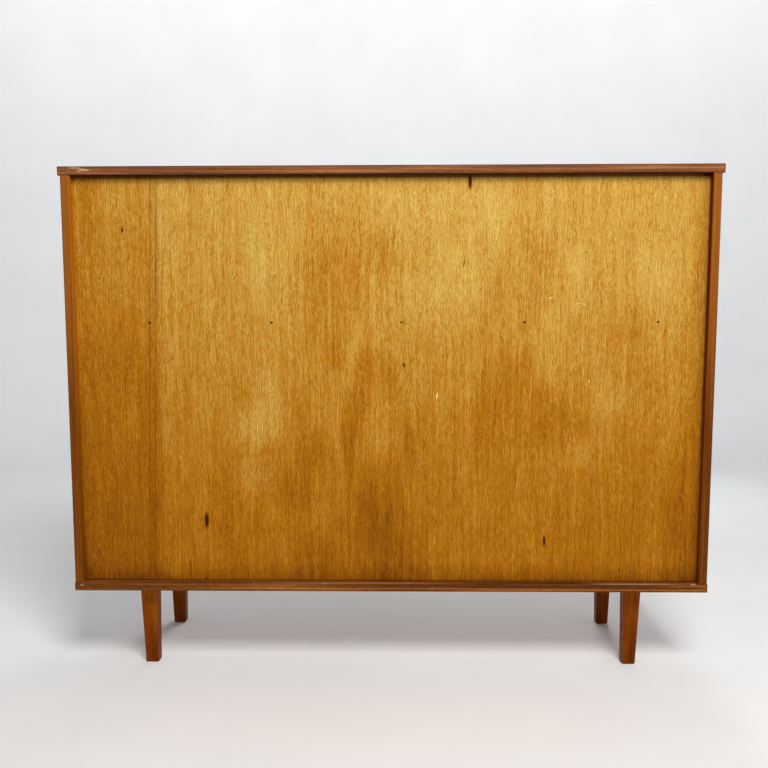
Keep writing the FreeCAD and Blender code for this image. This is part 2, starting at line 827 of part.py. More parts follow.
def stay_arm():
    """The slotted arm, drawn along its length from the rivet and laid at its slope with the flap shut."""
    y = front_y + flap_nose + rivet_back
    z = shelf_top + axis_rise + rivet_up
    body = new_piece("stay_arm", size.stay_side_gap - inner_half, y, z)
    body.Placement = FreeCAD.Placement(
        body.Placement.Base,
        FreeCAD.Rotation(FreeCAD.Vector(1, 0, 0), stay_slope.value),
    )
    bind(body, "Placement.Rotation.Angle", stay_slope)
    reach = size.stud_radius + size.slot_play
    bar = slot_corners(0, stud_open + reach, size.stay_width / 2)
    pad(body, outline(body, "YZ_Plane", bar), size.stay_thick)
    eye = circles(body, "YZ_Plane", ((0, 0),), size.rivet_radius + size.rivet_fit)
    pocket(body, eye, size.stay_thick, True)
    slot = slot_corners(stud_closed, stud_open, reach)
    pocket(body, outline(body, "YZ_Plane", slot), size.stay_thick, True)


def stay_stud():
    y = front_y + flap_nose + stud_back
    z = shelf_top + axis_rise + stud_up
    body = new_piece("stay_stud", -inner_half, y, z)
    centre = ((0, 0),)
    head = bracket_side
    shank = circles(body, "YZ_Plane", centre, size.stud_radius, -size.stud_in_side)
    pad(body, shank, head + size.stud_in_side)
    flange = circles(body, "YZ_Plane", centre, size.stud_flange_radius)
    pad(body, flange, size.stay_side_gap - size.stay_play)
    pad(body, circles(body, "YZ_Plane", centre, size.stud_head_radius, head), size.stud_head_thick)


def door(label, hinge_x, width, hand):
    """A door from its hinge edge, with leaf mortises and the knob's hole."""
    body = new_piece(label, hinge_x, front_y, base_top + size.door_gap)
    pad(body, rectangle(body, "XZ_Plane", (0, 0), (hand * width, door_height)), size.door_thick, True)
    round_edges(body, every_edge, size.edge_round)
    hinge_mortises(body, 0, size.hinge_inset, hand == LEFT_HAND)
    spot = ((hand * (width - size.knob_inset), door_height - size.knob_drop),)
    spigot = circles(body, "XZ_Plane", spot, size.spigot_radius + size.spigot_fit)
    pocket(body, spigot, size.spigot_length)


def knob(label, x, y, z):
    """A turned knob: spigot, flared foot, waist and rounded rim, spun about its own axis."""
    body = new_piece(label, x, y, z)
    profile = (
        (0, size.spigot_length),
        (0, -size.knob_projection),
        (size.knob_radius, -size.knob_projection),
        (size.knob_radius, size.knob_rim - size.knob_projection),
        (size.knob_waist_radius, -size.knob_foot - size.knob_waist),
        (size.knob_waist_radius, -size.knob_foot),
        (size.knob_foot_radius, 0),
        (size.spigot_radius, 0),
        (size.spigot_radius, size.spigot_length),
    )
    sketch = outline(body, "XY_Plane", profile)
    turned = body.newObject("PartDesign::Revolution", label + "_turned")
    turned.Profile = sketch
    turned.ReferenceAxis = (origin_feature(body, "Y_Axis"), [""])
    body.Tip = turned
    between = size.knob_radius.value + size.knob_foot_radius.value
    round_edges(body, lambda edge: edge.BoundBox.XLength > between, size.knob_rim_round)


def hinge_leaves(label, axis_x, hand, own_knuckles):
    """Both leaves of one kind for a door: a plate, its knuckles and their webs, bored for the pin."""
    z = base_top + hinge_start
    body = new_piece(label, axis_x, front_y - barrel_front, z)
    inner = hand * size.door_gap / 2
    outer = hand * barrel_radius
    plate_end = barrel_front + size.leaf_width
    plate = rectangle(body, "XY_Plane", (inner, barrel_front), (outer, plate_end))
    made = [pad(body, plate, size.hinge_length)]
    for number in own_knuckles:
        start = number * (knuckle + size.knuckle_gap)
        web = rectangle(body, "XY_Plane", (inner, 0), (outer, barrel_front), start)
        made.append(pad(body, web, knuckle))
        made.append(pad(body, circles(body, "XY_Plane", ((0, 0),), barrel_radius, start), knuckle))
    bore = circles(body, "XY_Plane", ((0, 0),), size.hinge_pin_radius + size.hinge_pin_fit)
    made.append(pocket(body, bore, size.hinge_length, True))
    repeat(body, made, "Z_Axis", hinge_span, 2)


def hinge_pins(label, axis_x):
    body = new_piece(label, axis_x, front_y - barrel_front, base_top + hinge_start)
    rod = circles(body, "XY_Plane", ((0, 0),), size.hinge_pin_radius, -size.hinge_pin_tip)
    pins = pad(body, rod, size.hinge_length + 2 * size.hinge_pin_tip)
    repeat(body, [pins], "Z_Axis", hinge_span, 2)


def strike(label, x, y, z):
    body = new_piece(label, x, y, z)
    half = size.strike_length / 2
    pad(body, rectangle(body, "XZ_Plane", (-half, 0), (half, size.strike_height)), size.strike_thick, True)
    round_edges(body, lambda edge: edge.BoundBox.YLength > size.strike_thick.value / 2, size.catch_round)


def catch_body(label, x, y, z):
    body = new_piece(label, x, y, z)
    half = size.catch_length / 2
    plan = rectangle(body, "XY_Plane", (-half, 0), (half, size.catch_depth))
    pad(body, plan, size.catch_height, True)
    round_edges(body, upright, size.catch_round)


def lower_doors():
    """The bottle cupboard's door and the pair, each with hinges, knob, catch and strike."""
    pair = pair_door_width
    rows = (
        ("bottle", -inner_half, bottle_door_width, LEFT_HAND),
        ("centre", partition_right, pair, LEFT_HAND),
        ("right", inner_half, pair, RIGHT_HAND),
    )
    for name, post, width, hand in rows:
        hinge_edge = post + hand * size.door_gap
        axis_x = post + hand * size.door_gap / 2
        door(f"{name}_door", hinge_edge, width, hand)
        hinge_leaves(f"{name}_door_leaves", axis_x, hand, (1,))
        hinge_leaves(f"{name}_frame_leaves", axis_x, -hand, (0, 2))
        hinge_pins(f"{name}_hinge_pins", axis_x)
        knob_x = hinge_edge + hand * (width - size.knob_inset)
        knob_z = base_top + size.door_gap + door_height - size.knob_drop
        knob(f"{name}_door_knob", knob_x, front_y, knob_z)
        catch_x = hinge_edge + hand * (width - size.catch_inset)
        inside = front_y + size.door_thick
        catch_body(f"{name}_door_catch", catch_x, inside + catch_front, shelf_low)
        strike(f"{name}_door_strike", catch_x, inside, shelf_low - size.catch_height + strike_drop)


def flap_fittings():
    middle = size.drinks_bay_width / 2 - inner_half
    inside = front_y + size.flap_thick + size.lining_thick
    knob_z = shelf_top + axis_rise + flap_rise - size.flap_knob_drop
    knob("flap_knob", middle, front_y, knob_z)
    catch_body("flap_catch", middle, inside + catch_front, top_low)
    strike("flap_strike", middle, inside, top_low - size.catch_height + strike_drop)


def loose_shelf():
    body = new_piece("loose_shelf", partition_right + size.loose_shelf_gap, front_y, base_top + peg_top)
    low = (0, size.loose_shelf_setback)
    high = (display_width - 2 * size.loose_shelf_gap, inner_depth - size.loose_shelf_gap)
    plan = rectangle(body, "XY_Plane", low, high)
    pad(body, plan, size.loose_shelf_thick)
    round_edges(body, every_edge, size.edge_round)


def shelf_pegs():
    body = new_piece("shelf_pegs", partition_right, front_y, base_top)
    height = peg_top - size.peg_radius
    spots = ((size.peg_front_inset, height), (peg_back, height))
    left_pegs = circles(body, "YZ_Plane", spots, size.peg_radius, -size.peg_in_board)
    pad(body, left_pegs, size.peg_length)
    right_pegs = circles(body, "YZ_Plane", spots, size.peg_radius, display_width + size.peg_in_board)
    pad(body, right_pegs, size.peg_length, True)


def check_all():
    """Stop if anything failed, a cut removed nothing or a piece has no sound solid."""
    for thing in doc.Objects:
        if "Invalid" in thing.State or "Error" in thing.State:
            raise RuntimeError(f"{thing.Label}: {thing.State}")
        if thing.TypeId == "PartDesign::Pocket":
            if thing.Shape.Volume >= thing.BaseFeature.Shape.Volume:
                raise RuntimeError(f"{thing.Label} cuts nothing")
    for node in nodes:
        if node.Shape.isNull() or not node.Shape.isValid() or not node.Shape.Solids:
            raise RuntimeError(f"{node.Label} has no sound solid")


top_board()
base_board()
left_side()
right_side()
middle_shelf()
upper_partition()
lower_partition()
back_panel()
back_panel_pins()
carcass_dowels()
legs()
leg_bolts()
leg_bushes()
glass_tracks()
glass_door("left_glass_door", LEFT_HAND, 0)
glass_door("right_glass_door", RIGHT_HAND, 1)
flap_panel()
flap_lining()
flap_pivots()
bay_floor()
stay_bracket()
stay_rivet()
stay_arm()
stay_stud()
flap_fittings()
lower_doors()
loose_shelf()
shelf_pegs()

doc.recompute()
check_all()
os.makedirs("parts", exist_ok=True)
for node in nodes:
    node.Shape.exportStep(f"parts/{node.Label}.step")
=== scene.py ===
import json
import math

import bmesh
import bpy
from mathutils import Matrix, Vector


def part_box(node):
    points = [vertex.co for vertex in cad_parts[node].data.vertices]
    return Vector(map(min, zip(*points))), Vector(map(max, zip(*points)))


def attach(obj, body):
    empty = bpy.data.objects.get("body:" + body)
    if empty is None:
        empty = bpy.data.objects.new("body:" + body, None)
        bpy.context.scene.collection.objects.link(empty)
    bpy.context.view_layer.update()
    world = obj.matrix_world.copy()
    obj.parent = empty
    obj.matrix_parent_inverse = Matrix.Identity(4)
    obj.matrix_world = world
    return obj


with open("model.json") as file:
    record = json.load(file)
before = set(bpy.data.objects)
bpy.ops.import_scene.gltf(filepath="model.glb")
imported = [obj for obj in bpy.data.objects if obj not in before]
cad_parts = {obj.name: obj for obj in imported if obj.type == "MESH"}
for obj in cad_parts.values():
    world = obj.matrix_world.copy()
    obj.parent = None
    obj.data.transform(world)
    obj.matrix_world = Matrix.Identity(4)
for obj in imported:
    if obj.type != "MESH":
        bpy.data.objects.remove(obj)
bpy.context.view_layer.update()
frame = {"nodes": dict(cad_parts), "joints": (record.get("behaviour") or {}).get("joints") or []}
nodes = frame["nodes"]

MM = 0.001
WIDE, DEEP, HIGH = 0, 1, 2
DOORS = ("bottle", "centre", "right")

# The boards' faces around the back panel, in metres.
TOP_UNDERSIDE, BASE_TOP, SIDE_FACE = 944 * MM, 176 * MM, 589 * MM
# Depths between the panel's inner and outer faces, just past the panel, and along the boards' rear edges.
PANEL_CORE = (162 * MM, 164 * MM)
PAST_PANEL = (164 * MM, 165.5 * MM)
REAR_EDGE = (172 * MM, 178 * MM)

# The photo's camera, fitted to the corners of the carcass and the feet. It looks at the cabinet's back. Its
# lens and sensor are in millimetres.
CAMERA_PLACE = Vector((-0.0099, 1.8673, 0.6942))
CAMERA_TURN, CAMERA_DIP, CAMERA_TILT = (math.radians(angle) for angle in (-1.007, 6.269, -0.101))
CAMERA_LENS, CAMERA_SENSOR = 42.39, 36
CAMERA_SHIFT = (0.0069, 0.035)

# Most values of a random figure lie between these two.
MOST = (0.3, 0.7)
# Old oil and varnish on wood: the usual IOR, with little of its shine left.
WORN_VARNISH = {"IOR": 1.5, "Specular IOR Level": 0.045}


def linear(code):
    """An sRGB hex colour as linear red, green, blue and alpha."""
    parts = [int(code[start:start + 2], 16) / 255 for start in (0, 2, 4)]
    return [p / 12.92 if p <= 0.04045 else ((p + 0.055) / 1.055) ** 2.4 for p in parts] + [1.0]


def add(tree, kind, links=None, values=None, stops=(), **settings):
    """One node with its settings and links. A link may name a node, and then its first output is meant.
    Stops are places and hex colours along a colour ramp."""
    node = tree.nodes.new(kind)
    for name, setting in settings.items():
        setattr(node, name, setting)
    for number, (position, code) in enumerate(stops):
        ramp = node.color_ramp.elements
        stop = ramp[number] if number < 2 else ramp.new(position)
        stop.position, stop.color = position, linear(code)
    for key, value in (values or {}).items():
        node.inputs[key].default_value = value
    for key, source in (links or {}).items():
        tree.links.new(source.outputs[0] if hasattr(source, "outputs") else source, node.inputs[key])
    return node


def new_finish(name):
    """A new material, its node tree, and the place of a point in the cabinet's own coordinates."""
    material = bpy.data.materials.new(name)
    material.use_nodes = True
    tree = material.node_tree
    tree.nodes.clear()
    place = add(tree, "ShaderNodeTexCoord").outputs["Object"]
    return material, tree, place


def finished(material, tree, links, values):
    """The end of every finish."""
    shader = add(tree, "ShaderNodeBsdfPrincipled", links, values)
    add(tree, "ShaderNodeOutputMaterial", {"Surface": shader})
    return material


def figure(tree, place, size, seed, detail=2.0):
    """A random figure with grains as wide, deep and high as size says, in millimetres."""
    stretch = [1 / (length * MM) for length in size]
    spot = add(tree, "ShaderNodeMapping", {"Vector": place}, {"Scale": stretch, "Location": [seed] * 3})
    return add(tree, "ShaderNodeTexNoise", {"Vector": spot}, {"Scale": 1.0, "Detail": detail})


def layered(tree, *layers):
    """Several figures added up. Each layer has its figure, the low and high value that it's read between,
    and what it gives at those two."""
    height = None
    for source, low, high, at_low, at_high in layers:
        limits = {"From Min": low, "From Max": high, "To Min": at_low, "To Max": at_high}
        part = add(tree, "ShaderNodeMapRange", {"Value": source}, limits, interpolation_type="SMOOTHSTEP")
        height = add(tree, "ShaderNodeMath", {0: height, 1: part}, operation="ADD") if height else part
    return height


def stained(tree, colour, code, *shares):
    """A colour with a second one laid over it, by the product of some shares from 0 to 1."""
    share = shares[0]
    for other in shares[1:]:
        share = add(tree, "ShaderNodeMath", {0: share, 1: other}, operation="MULTIPLY")
    over = add(tree, "ShaderNodeMix", {0: share, 6: colour}, {7: linear(code)}, data_type="RGBA")
    return over.outputs[2]


def reach(tree, place, x, z, half_width, half_height, turn):
    """How far a point of an upright face lies from a mark's middle: 0 there, and 1 on the mark's rim."""
    values = {
        "Location": (x * MM, 0, z * MM),
        "Rotation": (0, math.radians(turn), 0),
        "Scale": (half_width * MM, 1e6, half_height * MM),
    }
    local = add(tree, "ShaderNodeMapping", {"Vector": place}, values, vector_type="TEXTURE")
    return add(tree, "ShaderNodeVectorMath", {0: local}, operation="LENGTH").outputs["Value"]


def marks(tree, place, rows):
    """Small marks on an upright face, each with its middle, half sizes, turn and strength. They are full in
    their middle third and fade out to the rim."""
    layers = [(reach(tree, place, *shape), 0.35, 1.0, strength, 0.0) for *shape, strength in rows]
    return layered(tree, *layers)


# Where the peeled veneer of the back is darker or paler: middle, half width and half height in
# millimetres, lean in degrees and strength. Pale places have a negative strength.
FLAMES = (
    (505, 590, 50, 75, 0, 0.3),
    (555, 880, 30, 100, 0, 0.25),
    (90, 775, 100, 115, 0, 0.5),
    (150, 760, 20, 130, 0, 0.35),
    (8, 805, 42, 48, 0, 0.35),
    (112, 628, 20, 60, 22, 0.5),
    (72, 610, 10, 80, -19, -0.35),
    (98, 420, 9, 140, 0, -0.3),
    (34, 594, 29, 46, 0, 0.6),
    (62, 518, 19, 90, -12, 0.6),
    (77, 415, 14, 60, 0, 0.6),
    (-4, 560, 16, 66, 12, 0.65),
    (-32, 455, 15, 72, 8, 0.65),
    (18, 455, 20, 50, 0, -0.2),
    (8, 262, 68, 140, 0, 0.85),
    (140, 425, 34, 52, 0, 0.5),
    (178, 355, 46, 44, 0, 0.4),
    (140, 222, 46, 66, 0, 0.6),
    (262, 476, 48, 46, 0, -0.8),
    (228, 530, 34, 80, 10, -0.55),
    (240, 780, 26, 75, 0, -0.6),
    (268, 380, 34, 46, 0, -0.5),
    (-125, 755, 62, 80, 0, -0.5),
    (-62, 885, 70, 60, 0, -0.35),
    (-190, 895, 60, 40, 0, -0.3),
    (-60, 700, 40, 70, 0, -0.25),
    (-196, 850, 20, 72, 6, -0.6),
    (-280, 790, 27, 72, 0, 0.4),
    (-228, 560, 64, 64, 0, 0.5),
    (-288, 490, 58, 62, 0, 0.5),
    (-180, 480, 62, 52, 0, 0.3),
    (-440, 660, 42, 38, 0, 0.35),
    (-350, 770, 27, 52, 0, -0.4),
    (-490, 760, 46, 60, 0, -0.35),
    (-420, 525, 48, 42, 0, -0.4),
    (-360, 425, 28, 32, 0, -0.5),
    (-548, 300, 30, 150, 0, 0.7),
)
FLAME_TONE = 0.19
# Knots, burnt specks and stains in the back, with the same columns.
KNOTS = (
    (497.6, 846, 2.8, 8, 4, 1.0),
    (351.6, 295.6, 6.4, 22, 0, 1.0),
    (-296.8, 256.1, 4.0, 15, 2, 1.0),
    (-27.8, 594.1, 2.6, 7.5, 8, 1.0),
    (-139, 783.6, 2.4, 12, -8, 0.65),
    (-441.5, 199.5, 2.0, 7, 0, 0.8),
    (-474.1, 826.5, 1.6, 5, 6, 0.6),
    (-149, 932, 5.2, 21, 0, 1.0),
    (355.7, 178.9, 3.0, 3.5, 0, 0.8),
    (384.3, 204.7, 2.2, 22, 3, 0.45),
    (145.6, 405, 1.6, 5, 0, 0.6),
    (-303, 722.5, 6.5, 1.6, 8, 0.5),
)
# Scratches through the varnish, and one fleck of paint.
SCRATCHES = (
    (-90.2, 536, 1.6, 9, -9, 0.9),
    (-301.3, 719.5, 5, 1.7, 8, 0.5),
    (-352, 708, 9, 1.3, 4, 0.4),
    (-364, 705.5, 6, 1.3, -18, 0.45),
    (-347, 702, 1.3, 6, 0, 0.25),
    (-396.7, 541, 1.3, 12, -38, 0.35),
    (-375.5, 563.7, 2.4, 4.5, 0, 0.35),
)
# Dark rings where the pins have stained the veneer.
PIN_STAINS = tuple((x, 674, 4.2, 2.8, 0, 0.7) for x in (451, 221, -23, -253, -501))
# The joint between two leaves of the veneer: where the tone changes, and the dark lines along it.
VENEER_JOINT = (425 * MM, 448 * MM)
JOINT_LINES = (
    (454, 560, 2.4, 900, -1.7, 0.45),
    (443, 560, 2.6, 900, -1.7, 0.45),
    (433, 480, 1.8, 500, -1.7, 0.3),
    (447, 500, 15, 900, -1.7, 0.2),
)


def gaboon_plywood():
    """Gaboon plywood, peeled from the log and varnished: a golden ground with short dark pores, broad
    soft flames where the knife ran through the growth rings, and a satin, slightly uneven varnish."""
    material, tree, place = new_finish("varnished_gaboon_plywood")
    clouds = figure(tree, place, (110, 110, 240), seed=3.1)
    # The grain sways by a few millimetres from side to side.
    half = (0.5, 0.5, 0.5)
    drift = add(tree, "ShaderNodeVectorMath", {0: clouds.outputs[1]}, {1: half}, operation="SUBTRACT")
    sway = add(tree, "ShaderNodeVectorMath", {0: drift}, {1: (18 * MM, 0, 0)}, operation="MULTIPLY")
    grain = add(tree, "ShaderNodeVectorMath", {0: place, 1: sway}, operation="ADD").outputs[0]

    # Pores are about 0.3 mm wide and 5 mm long. They are drawn twice as wide, so that they show. The hairs
    # and threads are the finest lines between them, and are drawn coarser too.
    pores = figure(tree, grain, (0.6, 60, 5), seed=1.7, detail=1.0)
    hairs = figure(tree, grain, (0.8, 60, 15), seed=6.6, detail=1.0)
    threads = figure(tree, grain, (2, 60, 240), seed=15.4, detail=1.0)
    streaks = figure(tree, grain, (9, 60, 150), seed=5.3, detail=2.0)
    bands = figure(tree, grain, (46, 200, 400), seed=8.9, detail=2.0)
    mottle = figure(tree, grain, (30, 60, 52), seed=12.3, detail=2.0)

    across = add(tree, "ShaderNodeSeparateXYZ", {0: place}).outputs
    # The flames' edges run ragged along the streaks.
    ragged = add(tree, "ShaderNodeMath", {0: streaks}, {1: 0.9, 2: -0.45}, operation="MULTIPLY_ADD")
    flames = []
    for *shape, strength in FLAMES:
        edge = add(tree, "ShaderNodeMath", {0: reach(tree, grain, *shape), 1: ragged}, operation="ADD")
        flames.append((edge, 0.1, 1.45, -FLAME_TONE * strength, 0.0))
    tone = layered(
        tree,
        (across[HIGH], 0.15, 0.95, 0.425, 0.69),  # Painted light: lighter towards the top.
        (across[HIGH], 0.174, 0.225, -0.15, 0.0),  # Painted shade along the lower edge.
        (across[WIDE], -0.59, -0.52, -0.07, 0.0),  # Painted shade towards the two ends.
        (across[WIDE], 0.5, 0.59, 0.0, -0.05),
        (across[DEEP], *PANEL_CORE, -0.12, 0.0),  # The inner face has never seen the sun.
        (across[WIDE], *VENEER_JOINT, 0.0, -0.105),  # The second leaf of veneer is browner.
        (bands, *MOST, -0.03, 0.025),
        (mottle, *MOST, -0.016, 0.014),
        (streaks, *MOST, -0.042, 0.042),
        (threads, *MOST, -0.04, 0.04),
        (hairs, *MOST, -0.112, 0.102),
        *flames,
    )
    colour = add(tree, "ShaderNodeValToRGB", {"Fac": tone}, stops=(
        (0.0, "552700"),
        (0.25, "844902"),
        (0.5, "A96B08"),
        (0.75, "BF9A45"),
        (1.0, "D0B76B"),
    ))
    # Pores are dark where stain has settled in them, and pale between, most of all where the sun bleached.
    crowds = figure(tree, grain, (14, 60, 70), seed=4.6, detail=2.0)
    crowded = layered(tree, (crowds, 0.35, 0.65, 0.55, 1.0))
    dark_pores = layered(tree, (pores, 0.48, 0.68, 0.0, 0.6))
    colour = stained(tree, colour, "743A00", dark_pores, crowded)
    pale_pores = layered(tree, (pores, 0.3, 0.5, 0.24, 0.0))
    bleached = layered(tree, (across[HIGH], 0.2, 0.8, 0.4, 1.0))
    colour = stained(tree, colour, "E2B850", pale_pores, crowded, bleached)
    # The lines of the joint are filled with dark stain in some places and not in others.
    broken = layered(tree, (streaks, 0.35, 0.6, 0.35, 1.0))
    colour = stained(tree, colour, "703400", marks(tree, place, JOINT_LINES), broken)
    # Painted shade where the panel meets the boards, most of all under the top.
    painted_shade = layered(
        tree,
        (across[HIGH], TOP_UNDERSIDE - 7 * MM, TOP_UNDERSIDE - 3 * MM, 0.0, 0.7),
        (across[HIGH], TOP_UNDERSIDE - 29 * MM, TOP_UNDERSIDE - 3 * MM, 0.0, 0.15),
        (across[WIDE], 1 * MM - SIDE_FACE, 6 * MM - SIDE_FACE, 0.2, 0.0),
        (across[WIDE], 4 * MM - SIDE_FACE, 21 * MM - SIDE_FACE, 0.2, 0.0),
        (across[HIGH], BASE_TOP + 1 * MM, BASE_TOP + 5 * MM, 0.5, 0.0),
    )
    outside = layered(tree, (across[DEEP], *PANEL_CORE, 0.0, 1.0))
    colour = stained(tree, colour, "3C0C00", painted_shade, outside)
    colour = stained(tree, colour, "451A02", marks(tree, place, KNOTS + PIN_STAINS), outside)
    colour = stained(tree, colour, "F0D498", marks(tree, place, SCRATCHES), outside)
    gloss = layered(tree, (clouds, *MOST, 0.4, 0.5), (pores, 0.35, 0.65, 0.04, -0.04))
    relief = add(tree, "ShaderNodeBump", {"Height": pores}, {"Strength": 0.15, "Distance": 0.2 * MM})
    return finished(
        material,
        tree,
        {"Base Color": colour, "Roughness": gloss, "Normal": relief},
        WORN_VARNISH,
    )


# Dark, middle and pale browns of the boards. The top's are greyer, for wear and a painted sheen from above;
# the base's are darker, painted shade.
WORN_AND_SHEEN_TEAK = ("4A2717", "82502C", "AE7D50")
SHADED_TEAK = ("50290E", "935823", "B4803E")
AMBER_TEAK = ("5C2F08", "854607", "9C5B13")
FRONT_TEAK = ("573114", "7F4A1D", "986232")


def arris(tree, place, box):
    """How deep a point of a board lies under the second nearest of its faces: 0 along its arrises."""
    middle = (box[0] + box[1]) / 2
    half = (box[1] - box[0]) / 2
    centred = add(tree, "ShaderNodeVectorMath", {0: place}, {1: middle}, operation="SUBTRACT")
    folded = add(tree, "ShaderNodeVectorMath", {0: centred}, operation="ABSOLUTE")
    inset = add(tree, "ShaderNodeVectorMath", {1: folded}, {0: half}, operation="SUBTRACT")
    x, y, z = add(tree, "ShaderNodeSeparateXYZ", {0: inset}).outputs
    nearer = add(tree, "ShaderNodeMath", {0: x, 1: y}, operation="MINIMUM")
    farther = add(tree, "ShaderNodeMath", {0: x, 1: y}, operation="MAXIMUM")
    upper = add(tree, "ShaderNodeMath", {0: farther, 1: z}, operation="MINIMUM")
    return add(tree, "ShaderNodeMath", {0: nearer, 1: upper}, operation="MAXIMUM")


def teak_veneer(name, grain, seed, browns, pieces, chips=(), greyed=0.0, recess_light_and_shade=()):
    """Teak veneer and lipping, oiled and rubbed to a satin: brown with long dark lines along the grain and
    fine pores. Old oil has darkened along the arrises, and here and there they are rubbed or chipped pale.
    Greyed says how far the rear edge has paled near the top. The last argument gives the painted light and
    shade of the
    inner face that shows beyond the panel: its axis, its place, its colour and how strong that is."""
    material, tree, place = new_finish(f"teak_{name}")
    dark, middle, pale = browns

    def along(width, length):
        size = [width] * 3
        size[grain] = length
        return size

    lines = figure(tree, place, along(4.5, 320), seed=seed, detail=3.0)
    bands = figure(tree, place, along(30, 700), seed=seed + 4.2, detail=2.0)
    # Teak pores are about 0.3 mm wide. They are drawn wider, so that they show.
    pores = figure(tree, place, along(1.6, 16), seed=seed + 7.7, detail=1.5)
    wear = figure(tree, place, along(9, 30), seed=seed + 9.9, detail=3.0)
    across = add(tree, "ShaderNodeSeparateXYZ", {0: place}).outputs
    tone = layered(
        tree,
        (bands, 0.25, 0.75, 0.25, 0.6),
        (lines, *MOST, -0.27, 0.29),
        (pores, 0.35, 0.65, -0.1, 0.1),
        (across[HIGH], 0.2, 0.95, -0.19, 0.06),  # Painted light: the upper part lighter, the lower darker.
    )
    stops = ((0.0, dark), (0.5, middle), (1.0, pale))
    colour = add(tree, "ShaderNodeValToRGB", {"Fac": tone}, stops=stops)
    colour = stained(tree, colour, dark, layered(tree, (pores, 0.57, 0.72, 0.0, 0.6)))
    for piece in pieces:
        depth = arris(tree, place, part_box(piece))
        colour = stained(tree, colour, dark, layered(tree, (depth, 0.4 * MM, 3.6 * MM, 0.7, 0.0)))
        near = layered(tree, (depth, 0.4 * MM, 3.0 * MM, 1.0, 0.0))
        rubbed = layered(tree, (wear, 0.6, 0.78, 0.0, 0.35))
        colour = stained(tree, colour, "A9783F", near, rubbed)
    rear = layered(tree, (across[DEEP], *REAR_EDGE, 0.0, 1.0))
    if greyed:
        paled = layered(tree, (across[HIGH], 0.45, 0.95, 0.0, greyed))
        colour = stained(tree, colour, "8E5A24", paled, rear)
    # Painted light or painted shade on the inner face that shows beyond the panel.
    if recess_light_and_shade:
        axis, face, code, share = recess_light_and_shade
        limits = {1: face, 2: 0.8 * MM}
        on_face = add(tree, "ShaderNodeMath", {0: across[axis]}, limits, operation="COMPARE")
        behind = layered(tree, (across[DEEP], *PAST_PANEL, 0.0, share))
        # The painted light and shade get weaker towards the base.
        fading = layered(tree, (across[HIGH], 0.25, 0.8, 0.1, 1.0))
        colour = stained(tree, colour, code, on_face, behind, fading)
    if chips:
        colour = stained(tree, colour, "C9A878", marks(tree, place, chips), rear)
    gloss = layered(tree, (lines, *MOST, 0.42, 0.54), (pores, 0.35, 0.65, 0.04, -0.04))
    relief = add(tree, "ShaderNodeBump", {"Height": pores}, {"Strength": 0.18, "Distance": 0.2 * MM})
    finished(
        material,
        tree,
        {"Base Color": colour, "Roughness": gloss, "Normal": relief},
        WORN_VARNISH,
    )
    dress(material, *pieces)


def dress(material, *pieces):
    """Gives CAD nodes a finish."""
    for piece in pieces:
        mesh = nodes[piece].data
        mesh.materials.clear()
        mesh.materials.append(material)


def stained_leg_wood():
    """Beech, planed to a taper, stained and varnished: orange-brown, with a close, even grain, short dark
    flecks and more gloss than the boards."""
    material, tree, place = new_finish("stained_beech_legs")
    lines = figure(tree, place, (3.5, 3.5, 160), seed=2.2, detail=3.0)
    clouds = figure(tree, place, (22, 22, 120), seed=6.1, detail=2.0)
    # Beech flecks are about 0.5 mm wide. They are drawn wider, so that they show.
    flecks = figure(tree, place, (1.6, 1.6, 10), seed=9.4, detail=1.0)
    up = add(tree, "ShaderNodeSeparateXYZ", {0: place}).outputs[HIGH]
    tone = layered(
        tree,
        (clouds, *MOST, 0.35, 0.6),
        (lines, *MOST, -0.08, 0.1),
        (up, 0.0, 160 * MM, -0.16, 0.2),  # Darker towards the feet.
    )
    stops = ((0.0, "421802"), (0.5, "7A3803"), (1.0, "A8620A"))
    colour = add(tree, "ShaderNodeValToRGB", {"Fac": tone}, stops=stops)
    colour = stained(tree, colour, "3A1402", layered(tree, (flecks, 0.56, 0.7, 0.0, 0.4)))
    gloss = layered(tree, (clouds, *MOST, 0.34, 0.46))
    relief = add(tree, "ShaderNodeBump", {"Height": lines}, {"Strength": 0.08, "Distance": 0.2 * MM})
    return finished(
        material,
        tree,
        {"Base Color": colour, "Roughness": gloss, "Normal": relief},
        WORN_VARNISH,
    )


def bare_beech():
    """Beech rod, cut to length as dowels and left bare: dull, pale pinkish brown with short flecks, which are
    drawn wider than they are, so that they show."""
    material, tree, place = new_finish("bare_beech_dowels")
    flecks = figure(tree, place, (1.2, 1.2, 8), seed=4.4, detail=1.0)
    colour = add(tree, "ShaderNodeValToRGB", {"Fac": flecks}, stops=((0.3, "C79A6B"), (0.7, "D9B387")))
    return finished(material, tree, {"Base Color": colour}, {"Roughness": 0.7, "IOR": 1.5})


def turned_teak():
    """Teak knobs, turned on a lathe and oiled: dark, with fine end grain on the face. The pores are drawn
    three times as wide as they are, so that they show."""
    material, tree, place = new_finish("turned_teak_knobs")
    lines = figure(tree, place, (2.2, 60, 14), seed=1.3, detail=3.0)
    pores = figure(tree, place, (0.9, 12, 0.9), seed=5.8, detail=1.0)
    stops = ((0.25, "3E1D0A"), (0.5, "6B3A18"), (0.8, "8A5226"))
    colour = add(tree, "ShaderNodeValToRGB", {"Fac": lines}, stops=stops)
    colour = stained(tree, colour, "2A1208", layered(tree, (pores, 0.58, 0.7, 0.0, 0.5)))
    gloss = layered(tree, (lines, *MOST, 0.34, 0.46))
    return finished(material, tree, {"Base Color": colour, "Roughness": gloss}, {"IOR": 1.5})


